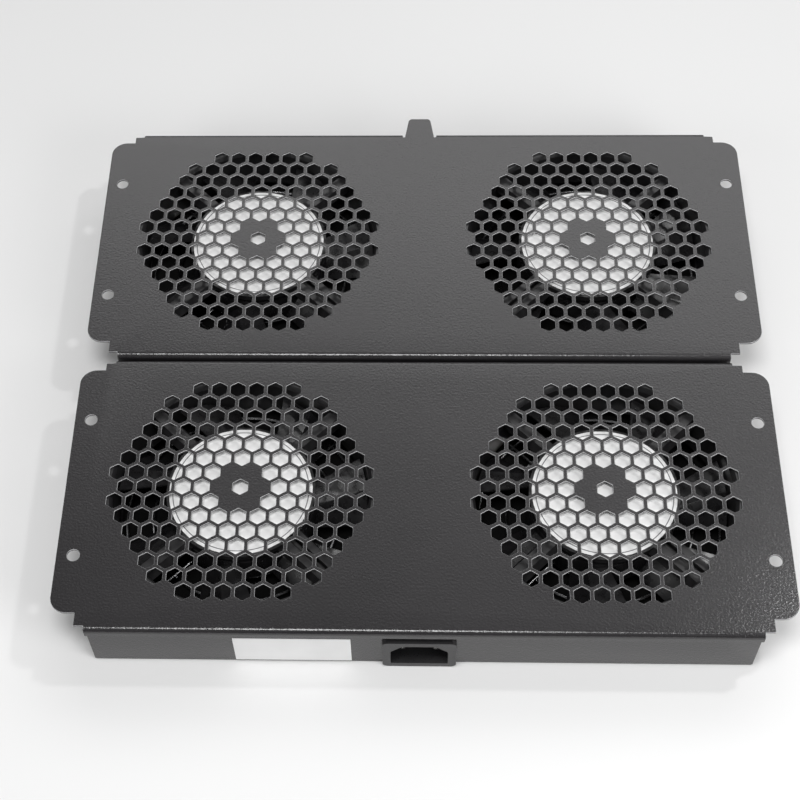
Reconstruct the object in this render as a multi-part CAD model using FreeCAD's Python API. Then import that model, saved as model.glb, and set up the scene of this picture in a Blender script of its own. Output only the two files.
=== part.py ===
import FreeCAD, Part
import math
import os

os.makedirs("parts", exist_ok=True)

Vector = FreeCAD.Vector

# Rack fan tray: two identical two-fan sections bolted one behind the other.
# Millimetres. X runs along the fixing ears, Y from the mains inlet to the rear,
# Z up through the grilles. Z = 0 is the underside and X = Y = 0 the middle.

# Sheet steel
sheet = 1.2
tray_height = 31.0
bend_radius = 2.4
wall_bend_radius = 1.4

# Sections and fan rows. Every "face" below is measured from its row of fans.
fan_spacing = 160.0
row_pitch = 140.25
lid_front_face = 70.4
lid_rear_face = 68.2
flange_drop = 4.9
flange_overhang = 0.5
flange_wall_gap = 0.3
lid_side_overhang = 4.8

# Fixing ears
ear_reach = 11.2
ear_length = 124.0
ear_corner_radius = 7.5
ear_hole_inset = 7.5
ear_hole_spacing_y = 69.2
ear_hole_radius = 2.75

# Honeycomb grille: rings of hexagons round one open cell, the first ring solid
hex_pitch = 8.5
hex_across_flats = 6.8
hex_first_angle = 30.0
grille_rings = 7
solid_ring = 1

# Tongue on the rear edge of the rear lid
tongue_middle_x = -1.5
tongue_base_width = 14.8
tongue_end_width = 10.8
tongue_reach = 10.0
tongue_corner_radius = 2.0
tongue_relief = 1.0

# Walls below the lids
fan_end_gap = 0.8
wall_lip = 7.2
end_lip = 5.0
end_plate_gap = 0.3
inlet_lip_gap = 18.0

# Fan frame, square with a round duct
fan_size = 119.0
fan_depth = 25.4
fan_corner_radius = 7.0
fan_flange = 3.4
duct_radius = 56.8
duct_mouth_radius = 58.2
duct_mouth_depth = 2.4
duct_wall = 2.2
fan_hole_offset = 52.5
fan_hole_radius = 2.2

# Hub plate and struts of the fan frame
hub_radius = 33.0
hub_plate_thickness = 3.0
hub_plate_drop = 2.4
hub_strut_overlap = 3.0
strut_top_width = 5.0
strut_base_width = 9.0
strut_thickness = 4.5
lead_strut_extra = 5.0
strut_angles = (45.0, 135.0, 225.0)
lead_strut_angle = 315.0
lead_slot_overrun = 6.0
rear_right_fan_turn = -90.0

# Bearings and shaft
shaft_radius = 2.5
shaft_running_clearance = 0.04
bearing_radius = 6.5
bearing_length = 13.0
bearing_tube_wall = 2.0
bearing_tube_length = 15.0
shaft_end_gap = 1.0

# Impeller
impeller_top_gap = 1.1
impeller_bottom_gap = 2.0
impeller_wall = 2.0
impeller_corner_radius = 1.2
impeller_shaft_seat = 1.0
impeller_boss_radius = 5.0
impeller_boss_height = 1.0
blade_count = 7
blade_tip_clearance = 1.0
blade_thickness = 1.4
blade_edge_thickness = 0.7
blade_camber = 2.2
blade_root_depth = 1.2
blade_root_chord = 20.0
blade_root_pitch = 38.0
blade_tip_chord = 33.0
blade_tip_pitch = 23.0
blade_tip_sweep = 9.0
blade_rise = 8.1

# Wound stator inside the impeller
stator_radius = 29.5
stator_height = 10.5

# Round label on the hub plate
hub_label_margin = 1.2
label_thickness = 0.2

# Wire finger guard below each fan
guard_wire = 1.6
guard_ring_radii = (18.0, 30.0, 42.0, 54.0)
guard_ring_sides = 20
guard_spoke_angles = (45.0, 135.0)
guard_bite = 0.2
guard_eye_radius = 4.4

# Small or hidden round pieces have flat sides
fastener_sides = 8
sleeve_sides = 12
lead_sides = 8
stator_sides = 24
label_sides = 48

# Fasteners of the fans and guards
stud_radius = 2.0
stud_length = 8.0
nut_across_flats = 7.0
nut_height = 3.2
screw_head_radius = 3.6
screw_head_height = 2.2
screw_length = 5.0

# Mains inlet
inlet_x = -1.0
inlet_base = 0.3
inlet_flange_width = 31.5
inlet_flange_height = 22.3
inlet_flange_thickness = 2.0
inlet_flange_corner = 2.5
inlet_body_width = 27.2
inlet_body_height = 19.0
inlet_body_corner = 3.0
inlet_cutout_gap = 0.1
socket_width = 24.4
socket_height = 16.2
socket_chamfer = 5.0
socket_depth = 17.0
socket_floor = 2.0
pin_spacing = 14.0
pin_width = 2.0
pin_height = 4.0
pin_recess = 4.6
pin_drop = 2.0
earth_pin_rise = 2.0
tab_width = 6.3
tab_thickness = 0.8
tab_length = 8.0

# Insulating boot behind the inlet
boot_wall = 1.2
boot_overlap = 5.0
boot_length = 23.0
boot_corner = 3.5

# Leads
lead_radius = 1.3
lead_bend_share = 0.45
straight_enough = 0.001
lead_slot_gap = 0.3
lead_start_radius = 29.0
lead_turn_radius = 66.0
lead_entry_height = 14.0
lead_boot_reach = 3.0
link_lead_offset = 7.0

# Earth point on the front lid
earth_y_from_row = -14.0
earth_stud_length = 9.0
earth_ring_radius = 4.0
earth_ring_thickness = 0.8
earth_lead_height = 18.0
earth_barrel_length = 5.0

# Bolts, spacers and grommets that join the two sections
join_offsets = (38.0, 122.0)
join_height = 13.0
join_bolt_radius = 2.5
join_hole_radius = 2.75
join_head_across_flats = 8.0
join_head_height = 3.2
join_nut_height = 4.0
join_thread_end = 1.0
join_spacer_radius = 5.0
grommet_radius = 4.0
grommet_flange_radius = 5.5
grommet_flange_thickness = 1.5

# White label on the front wall
front_label_left = -80.0
front_label_width = 50.0
front_label_base = 1.5
front_label_height = 21.0

# Places worked out from the sizes above
wall_half_length = fan_spacing / 2 + fan_size / 2 + fan_end_gap + sheet
flange_half_length = wall_half_length + flange_overhang
plate_half_width = wall_half_length + lid_side_overhang
ear_half_width = plate_half_width + ear_reach
ear_hole_x = ear_half_width - ear_hole_inset
hub_label_radius = hub_radius - hub_label_margin
lid_underside = tray_height - sheet
wall_front_face = lid_front_face - sheet - flange_wall_gap
wall_rear_face = lid_rear_face - sheet - flange_wall_gap
inlet_reach = wall_front_face + inlet_flange_thickness
tray_depth = inlet_reach + row_pitch + lid_rear_face + tongue_reach
front_row_y = inlet_reach - tray_depth / 2
rear_row_y = front_row_y + row_pitch
row_y = {"front": front_row_y, "rear": rear_row_y}
side_x = {"left": -fan_spacing / 2, "right": fan_spacing / 2}
fans = [(row, side) for row in row_y for side in side_x]

fan_top = lid_underside
fan_bottom = fan_top - fan_depth
hub_top = fan_top - hub_plate_drop
hub_underside = hub_top - hub_plate_thickness
strut_base = hub_top - strut_thickness
impeller_top = strut_base - impeller_top_gap
impeller_bottom = fan_bottom + impeller_bottom_gap
impeller_floor_top = impeller_bottom + impeller_wall
blade_middle_z = impeller_bottom + blade_rise
bearing_tube_base = hub_underside - bearing_tube_length
lead_z = strut_base + lead_slot_gap + lead_radius
lead_corner_radius = lead_radius / math.cos(math.pi / lead_sides)

inlet_face_y = front_row_y - inlet_reach
inlet_wall_y = front_row_y - wall_front_face
inlet_z = inlet_base + inlet_flange_height / 2
socket_floor_y = inlet_face_y + socket_depth
inlet_rear_y = socket_floor_y + socket_floor
boot_front_y = inlet_rear_y - boot_overlap
boot_rear_y = boot_front_y + boot_length
front_rear_wall_y = front_row_y + wall_rear_face
rear_front_wall_y = rear_row_y - wall_front_face
earth_y = front_row_y + earth_y_from_row


def on_plane(plane, a, b, level):
    """A point from two drawing coordinates and the level of the drawing plane."""
    if plane == "xy":
        return Vector(a, b, level)
    if plane == "yz":
        return Vector(level, a, b)
    return Vector(a, level, b)


def outline(plane, level, corners):
    """A closed wire through (a, b, radius) corners, each rounded by its radius."""
    spans = []
    for i, (a, b, radius) in enumerate(corners):
        here = Vector(a, b, 0)
        before = Vector(corners[i - 1][0], corners[i - 1][1], 0)
        after_corner = corners[(i + 1) % len(corners)]
        after = Vector(after_corner[0], after_corner[1], 0)
        if radius == 0:
            spans.append((here, None, here))
            continue
        back = (before - here).normalize()
        ahead = (after - here).normalize()
        half_angle = back.getAngle(ahead) / 2
        tangent = radius / math.tan(half_angle)
        bisector = (back + ahead).normalize()
        middle = here + bisector * (radius / math.sin(half_angle) - radius)
        spans.append((here + back * tangent, middle, here + ahead * tangent))
    place = [[p and on_plane(plane, p.x, p.y, level) for p in span] for span in spans]
    edges = []
    for i, (start, middle, end) in enumerate(place):
        if middle is not None:
            edges.append(Part.Arc(start, middle, end).toShape())
        following = place[(i + 1) % len(place)][0]
        if end.distanceToPoint(following) > 1e-6:
            edges.append(Part.makeLine(end, following))
    return Part.Wire(edges)


def along(plane, distance):
    """The vector that leaves a drawing plane by a distance."""
    return on_plane(plane, 0, 0, distance)


def sheet_face(wires):
    """A flat face inside the outer wire with the others as holes."""
    return Part.makeFace(wires, "Part::FaceMakerBullseye")


def slab(plane, start, end, corners, holes=()):
    """A plate between two levels, cut to an outline with rounded corners."""
    wires = [outline(plane, start, corners)] + [outline(plane, start, h) for h in holes]
    return sheet_face(wires).extrude(along(plane, end - start))


def rectangle(a, b, width, height, radius=0.0):
    """Corners of a rectangle about its middle."""
    half_w = width / 2
    half_h = height / 2
    return [
        (a - half_w, b - half_h, radius),
        (a + half_w, b - half_h, radius),
        (a + half_w, b + half_h, radius),
        (a - half_w, b + half_h, radius),
    ]


def polygon(a, b, radius, sides, first_angle):
    """Corners of a regular polygon."""
    turn = 2 * math.pi / sides
    angles = [math.radians(first_angle) + i * turn for i in range(sides)]
    return [(a + radius * math.cos(t), b + radius * math.sin(t), 0) for t in angles]


def post(x, y, base, top, radius):
    """An upright round bar."""
    return Part.makeCylinder(radius, top - base, Vector(x, y, base))


def flat_sided(a, b, radius, sides):
    """Corners of a regular polygon that stands on one of its sides."""
    return polygon(a, b, radius, sides, 180.0 / sides)


def flat_post(x, y, base, top, radius, sides=fastener_sides):
    """An upright bar with flat sides, a corner of its outline at the radius."""
    return slab("xy", base, top, flat_sided(x, y, radius, sides))


def flat_bar_y(x, z, start, end, radius):
    """A bar along Y with flat sides."""
    return slab("xz", start, end, flat_sided(x, z, radius, sleeve_sides))


def revolve(profile):
    """A full turn about Z of corners (radius, z)."""
    points = [Vector(r, 0, z) for r, z in profile]
    face = Part.Face(Part.makePolygon(points + points[:1]))
    return face.revolve(Vector(0, 0, 0), Vector(0, 0, 1), 360)


def hex_nut(x, y, base, across_flats, height, bore):
    """An upright hexagon nut."""
    corner = across_flats / math.sqrt(3)
    hexagon = polygon(x, y, corner, 6, 0.0)
    hole = flat_sided(x, y, bore, fastener_sides)
    return slab("xy", base, base + height, hexagon, [hole])


def hex_bar_y(x, z, start, end, across_flats):
    """A hexagon bar along Y."""
    corner = across_flats / math.sqrt(3)
    return slab("xz", start, end, polygon(x, z, corner, 6, 0.0))


def group(shapes):
    """Separate solids that are handled as one set."""
    return Part.makeCompound(shapes)


def turned(shape, angle):
    """A copy turned about the Z axis."""
    copy = shape.copy()
    copy.rotate(Vector(0, 0, 0), Vector(0, 0, 1), angle)
    return copy


def fan_turn(row, side):
    """How far one fan is turned from the others."""
    return rear_right_fan_turn if (row, side) == ("rear", "right") else 0.0


def fan_place(shape, row, side):
    """A copy of a piece drawn at the origin, moved to one fan's place."""
    copy = turned(shape, fan_turn(row, side))
    copy.translate(Vector(side_x[side], row_y[row], 0))
    return copy


def fan_point(row, side, radius, angle, z):
    """A point given by radius and angle about one fan's axis."""
    t = math.radians(angle + fan_turn(row, side))
    x = side_x[side] + radius * math.cos(t)
    y = row_y[row] + radius * math.sin(t)
    return Vector(x, y, z)


def four_corners(offset):
    """The corners of a square about the origin."""
    return [(sx * offset, sy * offset) for sx in (-1, 1) for sy in (-1, 1)]


def lead_path(points):
    """Straight runs joined by tangent arcs."""
    edges = []
    start = points[0]
    for i in range(1, len(points) - 1):
        back = points[i - 1] - points[i]
        ahead = points[i + 1] - points[i]
        shorter = min(back.Length, ahead.Length)
        back.normalize()
        ahead.normalize()
        half_turn = (math.pi - back.getAngle(ahead)) / 2
        if half_turn < straight_enough:
            continue
        tangent = lead_bend_share * shorter
        radius = tangent / math.tan(half_turn)
        bisector = (back + ahead).normalize()
        arc_start = points[i] + back * tangent
        arc_end = points[i] + ahead * tangent
        reach = radius / math.cos(half_turn) - radius
        edges.append(Part.makeLine(start, arc_start))
        edges.append(Part.Arc(arc_start, points[i] + bisector * reach, arc_end).toShape())
        start = arc_end
    edges.append(Part.makeLine(start, points[-1]))
    return Part.Wire(edges)


def lead(points):
    """A lead along a route of chosen points."""
    direction = (points[1] - points[0]).normalize()
    across = direction.cross(Vector(0, 0, 1)).normalize()
    up = across.cross(direction)
    section = [
        points[0] + across * a + up * b
        for a, b, _ in flat_sided(0, 0, lead_corner_radius, lead_sides)
    ]
    ring = Part.makePolygon(section + section[:1])
    return lead_path(points).makePipeShell([ring], True, False)


# ---------------------------------------------------------------- lids


def grille_cells():
    """Centres of one grille's hexagons about its middle."""
    row_rise = hex_pitch * math.sqrt(3) / 2
    cells = []
    for q in range(-grille_rings, grille_rings + 1):
        for r in range(-grille_rings, grille_rings + 1):
            ring = max(abs(q), abs(r), abs(q + r))
            at_corner = ring == grille_rings and 0 in (q, r, q + r)
            if ring > grille_rings or ring == solid_ring or at_corner:
                continue
            cells.append((hex_pitch * (q + r / 2), row_rise * r))
    return cells


def lid_flange(bend_y, outward, spans):
    """A folded edge: a quarter bend and a short drop, along X over each span."""
    outer = bend_y + outward * bend_radius
    inner = outer - outward * sheet
    drop_z = tray_height - flange_drop
    profile = [
        (bend_y, tray_height, 0),
        (outer, tray_height, bend_radius),
        (outer, drop_z, 0),
        (inner, drop_z, 0),
        (inner, lid_underside, bend_radius - sheet),
        (bend_y, lid_underside, 0),
    ]
    return [slab("yz", start, end, profile) for start, end in spans]


def ear(row, sign):
    """One fixing ear beside the lid's plate, with its two holes."""
    y = row_y[row]
    front = y - ear_length / 2
    rear = y + ear_length / 2
    corners = [
        (sign * plate_half_width, rear, 0),
        (sign * ear_half_width, rear, ear_corner_radius),
        (sign * ear_half_width, front, ear_corner_radius),
        (sign * plate_half_width, front, 0),
    ]
    wires = [outline("xy", lid_underside, corners)]
    for dy in (-ear_hole_spacing_y / 2, ear_hole_spacing_y / 2):
        centre = Vector(sign * ear_hole_x, y + dy, lid_underside)
        wires.append(Part.Wire(Part.makeCircle(ear_hole_radius, centre)))
    return sheet_face(wires).extrude(Vector(0, 0, sheet))


def lid(row):
    """The honeycomb lid of one section with its ears and folded edges."""
    y = row_y[row]
    front_bend = y - lid_front_face + bend_radius
    rear_bend = y + lid_rear_face - bend_radius
    corners = [
        (-plate_half_width, rear_bend, 0),
        (-plate_half_width, front_bend, 0),
        (plate_half_width, front_bend, 0),
        (plate_half_width, rear_bend, 0),
    ]
    tongue_end = y + lid_rear_face + tongue_reach
    tongue = [
        (tongue_middle_x + tongue_base_width / 2, rear_bend, 0),
        (tongue_middle_x + tongue_end_width / 2, tongue_end, tongue_corner_radius),
        (tongue_middle_x - tongue_end_width / 2, tongue_end, tongue_corner_radius),
        (tongue_middle_x - tongue_base_width / 2, rear_bend, 0),
    ]
    has_tongue = row == "rear"
    if has_tongue:
        corners += tongue
    corner = hex_across_flats / math.sqrt(3)
    holes = []
    for x in side_x.values():
        for cx, cy in grille_cells():
            holes.append(polygon(x + cx, y + cy, corner, 6, hex_first_angle))
    plate = slab("xy", lid_underside, tray_height, corners, holes)
    whole = [(-flange_half_length, flange_half_length)]
    relief = tongue_base_width / 2 + tongue_relief
    split = [
        (-flange_half_length, tongue_middle_x - relief),
        (tongue_middle_x + relief, flange_half_length),
    ]
    edges = lid_flange(front_bend, -1, whole)
    edges += lid_flange(rear_bend, 1, split if has_tongue else whole)
    folded = plate.multiFuse(edges).removeSplitter()
    # The ears keep faces of their own, because they alone are the seat.
    return folded.multiFuse([ear(row, -1), ear(row, 1)])


# ---------------------------------------------------------------- walls


def long_wall(outer_y, inward):
    """A front or rear wall folded to a channel, with its lips inward."""
    inner_y = outer_y + inward * sheet
    lip_y = outer_y + inward * wall_lip
    inner_radius = wall_bend_radius - sheet
    profile = [
        (lip_y, 0, 0),
        (outer_y, 0, wall_bend_radius),
        (outer_y, lid_underside, wall_bend_radius),
        (lip_y, lid_underside, 0),
        (lip_y, lid_underside - sheet, 0),
        (inner_y, lid_underside - sheet, inner_radius),
        (inner_y, sheet, inner_radius),
        (lip_y, sheet, 0),
    ]
    return slab("yz", -wall_half_length, wall_half_length, profile)


def cross_hole(x, z, y, radius):
    """A cutter through a wall along Y."""
    return flat_bar_y(x, z, y - wall_lip, y + wall_lip, radius)


def join_places():
    """X of the bolts that join the two sections."""
    return [s * offset for offset in join_offsets for s in (-1, 1)]


def link_lead_x(side):
    """X of a rear fan's lead where it crosses into the front section."""
    return inlet_x + (link_lead_offset if side == "right" else -link_lead_offset)


def joining_wall(outer_y, inward):
    """A wall that faces the other section, drilled for bolts and grommets."""
    holes = [cross_hole(x, join_height, outer_y, join_hole_radius) for x in join_places()]
    for side in side_x:
        holes.append(cross_hole(link_lead_x(side), lead_entry_height, outer_y, grommet_radius))
    return long_wall(outer_y, inward).cut(group(holes))


def inlet_wall():
    """The front wall with the inlet's cut-out and its lip relieved behind it."""
    width = inlet_body_width + 2 * inlet_cutout_gap
    height = inlet_body_height + 2 * inlet_cutout_gap
    radius = inlet_body_corner
    window = rectangle(inlet_x, inlet_z, width, height, radius)
    cutter = slab("xz", inlet_wall_y - sheet, inlet_wall_y + wall_lip, window)
    relief = Part.makeBox(
        2 * inlet_lip_gap,
        wall_lip,
        sheet,
        Vector(inlet_x - inlet_lip_gap, inlet_wall_y + sheet + boot_wall, 0),
    )
    return long_wall(inlet_wall_y, 1).cut(group([cutter])).cut(relief)


def end_plate(row, sign):
    """A side wall between the long walls, with a lip along its foot."""
    outer_x = sign * wall_half_length
    inner_x = outer_x - sign * sheet
    lip_x = outer_x - sign * end_lip
    profile = [
        (lip_x, 0, 0),
        (outer_x, 0, wall_bend_radius),
        (outer_x, lid_underside, 0),
        (inner_x, lid_underside, 0),
        (inner_x, sheet, wall_bend_radius - sheet),
        (lip_x, sheet, 0),
    ]
    front = row_y[row] - wall_front_face
    rear = row_y[row] + wall_rear_face
    plate = slab("xz", front + wall_lip, rear - wall_lip, profile)
    height = lid_underside - 2 * (sheet + end_plate_gap)
    side = rectangle((outer_x + inner_x) / 2, lid_underside / 2, sheet, height)
    upright = slab("xz", front + sheet, rear - sheet, side)
    return plate.fuse(upright).removeSplitter()


# ---------------------------------------------------------------- fans


def strut(angle, top_width, base_width):
    """A tapered strut from the hub plate to the duct."""
    profile = [
        (-base_width / 2, strut_base, 0),
        (base_width / 2, strut_base, 0),
        (top_width / 2, hub_top, 0),
        (-top_width / 2, hub_top, 0),
    ]
    start = hub_radius - hub_strut_overlap
    end = duct_radius + duct_wall / 2
    return turned(slab("yz", start, end, profile), angle)


def lead_slot():
    """A cutter for the groove that carries a lead out along its strut."""
    width = 2 * (lead_radius + lead_slot_gap)
    start = lead_start_radius
    end = duct_radius + lead_slot_overrun
    base = lead_z - lead_radius
    groove = Part.makeBox(end - start, width, fan_top - base, Vector(start, -width / 2, base))
    roof = fan_top - fan_flange
    flange = Part.makeBox(end, 2 * width, fan_flange, Vector(duct_radius, -width, roof))
    return turned(groove.cut(flange), lead_strut_angle)


def fan_frame():
    """The fixed part of a fan: two square flanges, the duct, struts, hub plate and tube."""
    outer = duct_radius + duct_wall
    mouth_top = fan_top - duct_mouth_depth
    mouth_bottom = fan_bottom + duct_mouth_depth
    duct = revolve(
        [
            (duct_mouth_radius, fan_bottom),
            (outer, fan_bottom),
            (outer, fan_top),
            (duct_mouth_radius, fan_top),
            (duct_radius, mouth_top),
            (duct_radius, mouth_bottom),
        ]
    )
    square = rectangle(0, 0, fan_size, fan_size, fan_corner_radius)
    top = slab("xy", fan_top - fan_flange, fan_top, square)
    bottom = slab("xy", fan_bottom, fan_bottom + fan_flange, square)
    cutters = [post(0, 0, fan_bottom, fan_top, duct_mouth_radius)]
    for x, y in four_corners(fan_hole_offset):
        cutters.append(flat_post(x, y, fan_bottom, fan_top, fan_hole_radius))
    flanges = group([top, bottom]).cut(group(cutters))
    plate = post(0, 0, hub_underside, hub_top, hub_radius)
    tube_radius = bearing_radius + bearing_tube_wall
    holder = flat_post(0, 0, bearing_tube_base, hub_underside, tube_radius, sleeve_sides)
    struts = [strut(a, strut_top_width, strut_base_width) for a in strut_angles]
    wide_top = strut_top_width + lead_strut_extra
    wide_base = strut_base_width + lead_strut_extra
    struts.append(strut(lead_strut_angle, wide_top, wide_base))
    frame = duct.multiFuse([flanges, plate, holder] + struts)
    seat = flat_post(0, 0, bearing_tube_base, hub_underside, bearing_radius, sleeve_sides)
    return frame.cut(seat).cut(lead_slot()).removeSplitter()


def fan_bearing():
    """The sleeve bearing in the hub plate's tube."""
    top = bearing_tube_base + bearing_length
    sleeve = flat_post(0, 0, bearing_tube_base, top, bearing_radius, sleeve_sides)
    bore = shaft_radius + shaft_running_clearance
    return sleeve.cut(post(0, 0, bearing_tube_base, top, bore))


def fan_shaft():
    """The impeller's shaft."""
    base = impeller_bottom + impeller_shaft_seat
    return post(0, 0, base, hub_underside - shaft_end_gap, shaft_radius)


def blade_section(radius, chord, pitch, sweep):
    """A cambered blade section at one radius, in a plane across X."""
    t = math.radians(pitch)
    drift = radius * math.tan(math.radians(sweep))
    half = chord / 2
    edge = blade_edge_thickness / 2
    body = blade_thickness / 2
    shape = [
        (-half, -edge),
        (0, blade_camber - body),
        (half, -edge),
        (half, edge),
        (0, blade_camber + body),
        (-half, edge),
    ]
    points = []
    for a, b in shape:
        y = drift + a * math.cos(t) - b * math.sin(t)
        z = blade_middle_z + a * math.sin(t) + b * math.cos(t)
        points.append(Vector(radius, y, z))
    return Part.makePolygon(points + points[:1])


def blade():
    """One blade, lofted from inside the hub's wall to the duct and trimmed at its tip."""
    root_radius = hub_radius - blade_root_depth
    root = blade_section(root_radius, blade_root_chord, blade_root_pitch, 0.0)
    tip = blade_section(duct_radius, blade_tip_chord, blade_tip_pitch, blade_tip_sweep)
    swept = Part.makeLoft([root, tip], True, True)
    return swept.common(post(0, 0, fan_bottom, fan_top, duct_radius - blade_tip_clearance))


def impeller():
    """The hub cup, open towards the hub plate, with its ring of blades."""
    inner = hub_radius - impeller_wall
    chamfer = impeller_corner_radius
    cup = revolve(
        [
            (0, impeller_bottom),
            (hub_radius - chamfer, impeller_bottom),
            (hub_radius, impeller_bottom + chamfer),
            (hub_radius, impeller_top),
            (inner, impeller_top),
            (inner, impeller_floor_top),
            (0, impeller_floor_top),
        ]
    )
    boss_top = impeller_floor_top + impeller_boss_height
    boss = flat_post(0, 0, impeller_floor_top, boss_top, impeller_boss_radius, sleeve_sides)
    seat = post(0, 0, impeller_bottom + impeller_shaft_seat, boss_top, shaft_radius)
    hollow = post(0, 0, impeller_floor_top, fan_top, inner)
    one = blade().cut(hollow)
    blades = [turned(one, i * 360.0 / blade_count) for i in range(blade_count)]
    return cup.multiFuse([boss] + blades).cut(seat).removeSplitter()


def fan_stator():
    """The wound stack round the bearing tube."""
    low = (impeller_top + impeller_floor_top - stator_height) / 2
    top = low + stator_height
    stack = flat_post(0, 0, low, top, stator_radius, stator_sides)
    bore = bearing_radius + bearing_tube_wall
    return stack.cut(flat_post(0, 0, low, top, bore, sleeve_sides))


def hub_label():
    """The round label on the hub plate."""
    top = hub_top + label_thickness
    return flat_post(0, 0, hub_top, top, hub_label_radius, label_sides)


def guard_ring(radius, base, top):
    """A wire ring of the finger guard, with flat sides."""
    half = guard_wire / 2
    outer = polygon(0, 0, radius + half, guard_ring_sides, 0.0)
    inner = polygon(0, 0, radius - half, guard_ring_sides, 0.0)
    return slab("xy", base, top, outer, [inner])


def finger_guard():
    """Wire rings on two crossed wires that end in eyes at the fan's corners."""
    spoke_base = fan_bottom - guard_wire
    ring_top = spoke_base + guard_bite
    ring_base = ring_top - guard_wire
    rings = [guard_ring(r, ring_base, ring_top) for r in guard_ring_radii]
    reach = fan_hole_offset * math.sqrt(2) - fan_hole_radius - guard_wire / 2
    corner = Vector(-reach, -guard_wire / 2, spoke_base)
    wire = Part.makeBox(2 * reach, guard_wire, guard_wire, corner)
    spokes = [turned(wire, angle) for angle in guard_spoke_angles]
    eyes = []
    for x, y in four_corners(fan_hole_offset):
        eyes.append(flat_post(x, y, spoke_base, fan_bottom, guard_eye_radius))
    guard = spokes[0].multiFuse(spokes[1:] + rings + eyes)
    holes = []
    for x, y in four_corners(fan_hole_offset):
        holes.append(flat_post(x, y, spoke_base, fan_bottom, fan_hole_radius))
    return guard.cut(group(holes)).removeSplitter()


def fan_corner_places():
    """Every fan's four screw places."""
    places = []
    for row, side in fans:
        for x, y in four_corners(fan_hole_offset):
            places.append((side_x[side] + x, row_y[row] + y))
    return places


def fan_studs():
    """Studs welded below the lids."""
    low = lid_underside - stud_length
    return group(
        [flat_post(x, y, low, lid_underside, stud_radius) for x, y in fan_corner_places()]
    )


def fan_stud_nuts():
    """Nuts that clamp the fans' upper flanges to the lids."""
    base = fan_top - fan_flange - nut_height
    size = nut_across_flats
    return group(
        [hex_nut(x, y, base, size, nut_height, stud_radius) for x, y in fan_corner_places()]
    )


def guard_screws():
    """Screws that hold the finger guards to the fans' lower flanges."""
    seat = fan_bottom - guard_wire
    screws = []
    for x, y in fan_corner_places():
        head = flat_post(x, y, seat - screw_head_height, seat, screw_head_radius)
        shank = flat_post(x, y, seat, seat + screw_length, fan_hole_radius)
        screws.append(head.fuse(shank).removeSplitter())
    return group(screws)


# ---------------------------------------------------------------- mains inlet


def socket_outline(inset):
    """The socket's six-sided opening, its upper corners cut off."""
    half_w = socket_width / 2 - inset
    half_h = socket_height / 2 - inset
    return [
        (inlet_x - half_w, inlet_z - half_h, 0),
        (inlet_x + half_w, inlet_z - half_h, 0),
        (inlet_x + half_w, inlet_z + half_h - socket_chamfer, 0),
        (inlet_x + half_w - socket_chamfer, inlet_z + half_h, 0),
        (inlet_x - half_w + socket_chamfer, inlet_z + half_h, 0),
        (inlet_x - half_w, inlet_z + half_h - socket_chamfer, 0),
    ]


def pin_places():
    """Middles of the live, earth and neutral pins."""
    low = inlet_z - pin_drop
    half = pin_spacing / 2
    return [
        (inlet_x - half, low),
        (inlet_x, inlet_z + earth_pin_rise),
        (inlet_x + half, low),
    ]


def inlet_pins():
    """The three blades with the tabs behind them."""
    pins = []
    for x, z in pin_places():
        blade_profile = rectangle(x, z, pin_width, pin_height)
        tab_profile = rectangle(x, z, tab_thickness, tab_width)
        front = slab("xz", inlet_face_y + pin_recess, inlet_rear_y, blade_profile)
        tab = slab("xz", inlet_rear_y, inlet_rear_y + tab_length, tab_profile)
        pins.append(front.fuse(tab).removeSplitter())
    return group(pins)


def inlet_housing():
    """The moulded inlet: flange, body and socket."""
    face = rectangle(
        inlet_x, inlet_z, inlet_flange_width, inlet_flange_height, inlet_flange_corner
    )
    body = rectangle(inlet_x, inlet_z, inlet_body_width, inlet_body_height, inlet_body_corner)
    flange = slab("xz", inlet_face_y, inlet_wall_y, face)
    trunk = slab("xz", inlet_wall_y, inlet_rear_y, body)
    socket = slab("xz", inlet_face_y, socket_floor_y, socket_outline(0.0))
    slots = []
    for x, z in pin_places():
        slot = rectangle(x, z, pin_width, pin_height)
        slots.append(slab("xz", socket_floor_y, inlet_rear_y, slot))
    return flange.fuse(trunk).cut(group([socket] + slots)).removeSplitter()


def inlet_boot(leads):
    """The soft boot over the tabs, with a close hole for each lead."""
    width = inlet_body_width
    height = inlet_body_height
    outside = rectangle(
        inlet_x, inlet_z, width + 2 * boot_wall, height + 2 * boot_wall, boot_corner
    )
    inside = rectangle(inlet_x, inlet_z, width, height, inlet_body_corner)
    shell = slab("xz", boot_front_y, boot_rear_y, outside)
    hollow = slab("xz", boot_front_y, boot_rear_y - boot_wall, inside)
    return shell.cut(hollow).cut(group(leads)).removeSplitter()


# ---------------------------------------------------------------- leads


def strut_run(row, side):
    """The first points of a lead: in the hub, at the duct and at its first turn."""
    radii = (lead_start_radius + lead_radius, duct_radius, lead_turn_radius)
    return [fan_point(row, side, r, lead_strut_angle, lead_z) for r in radii]


def front_left_lead():
    """From the front left fan across to the boot's side."""
    route = strut_run("front", "left")
    end_x = inlet_x - inlet_body_width / 2 + lead_boot_reach
    route.append(Vector(end_x, route[-1].y, lead_entry_height))
    return lead(route)


def front_right_lead():
    """From the front right fan along the front wall to the boot's other side."""
    route = strut_run("front", "right")
    wall_y = inlet_wall_y + sheet + lead_corner_radius
    leave_x = inlet_x + 2 * inlet_lip_gap
    route.append(Vector(route[-1].x, wall_y, lead_z))
    route.append(Vector(leave_x, wall_y, lead_z))
    end_x = inlet_x + inlet_body_width / 2 - lead_boot_reach
    route.append(Vector(end_x, inlet_rear_y + 2 * lead_boot_reach, lead_entry_height))
    return lead(route)


def rear_lead(side):
    """From a rear fan through a grommet to the boot's end."""
    route = strut_run("rear", side)
    x = link_lead_x(side)
    route.append(Vector(x, route[-1].y, lead_entry_height))
    route.append(Vector(x, boot_rear_y - lead_boot_reach, lead_entry_height))
    return lead(route)


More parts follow.
